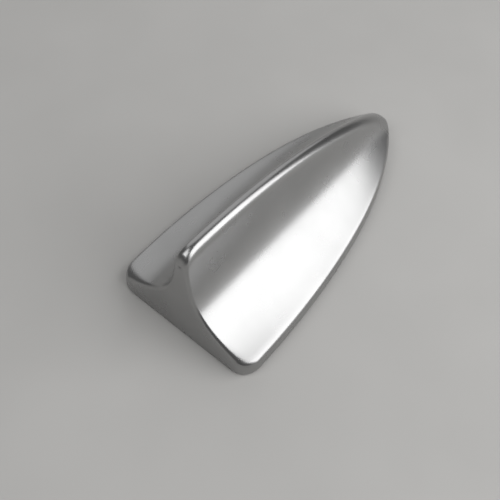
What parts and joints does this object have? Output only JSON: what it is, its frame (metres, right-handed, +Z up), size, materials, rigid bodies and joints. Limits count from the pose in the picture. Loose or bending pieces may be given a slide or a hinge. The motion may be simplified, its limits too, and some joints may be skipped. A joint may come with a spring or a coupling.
{
  "type": "shark fin aerial",
  "caption": "Fin-shaped vehicle roof aerial: satin chromed cover with hollowed flanks and rounded spine over a sealed base plate, amplifier board and loaded coil, glued by its flat underside.",
  "frame": {"origin": "middle of the footprint, on the underside that sticks to the roof", "axes": "+X to the nose along the length, +Y to the left, +Z up; the spine lies over the X axis"},
  "size_m": [0.15, 0.075, 0.056],
  "materials": {
    "cover_chrome": "satin chrome plating on moulded ABS",
    "seal_rubber": "dull black EPDM",
    "pad_foam": "dark grey acrylic foam tape",
    "base_plastic": "fine moulded texture, black ABS",
    "screw_steel": "zinc-plated",
    "tinned_steel": "bright tinned sheet",
    "spring_brass": "rolled brass",
    "board_green": "green solder mask on glass-epoxy",
    "chip_black": "moulded epoxy",
    "pin_tin": "tinned leads",
    "cap_ceramic": "fired ceramic",
    "coil_copper": "enamelled copper wire",
    "cap_can": "drawn aluminium can",
    "choke_ferrite": "sintered ferrite",
    "carrier_plastic": "natural white ABS",
    "sponge": "closed-cell sponge"
  },
  "bodies": {
    "root": {"cover": "cover_chrome", "weather_seal": "seal_rubber", "adhesive_pad": "pad_foam", "base_plate": "base_plastic", "cover_screws": "screw_steel", "cable_grommet": "seal_rubber", "earth_plate": "tinned_steel", "earth_spring": "spring_brass", "circuit_board": "board_green", "board_screws": "screw_steel", "cable_terminal": "spring_brass", "shield_can": "tinned_steel", "amplifier_chip": "chip_black", "chip_pins": "pin_tin", "ceramic_capacitors": "cap_ceramic", "chip_resistors": "chip_black", "filter_capacitor": "cap_can", "capacitor_foot": "chip_black", "choke_core": "choke_ferrite", "choke_winding": "coil_copper", "aerial_carrier": "carrier_plastic", "aerial_coil": "coil_copper", "sail_plate": "tinned_steel", "sail_foam": "sponge"}
  },
  "joints": []
}
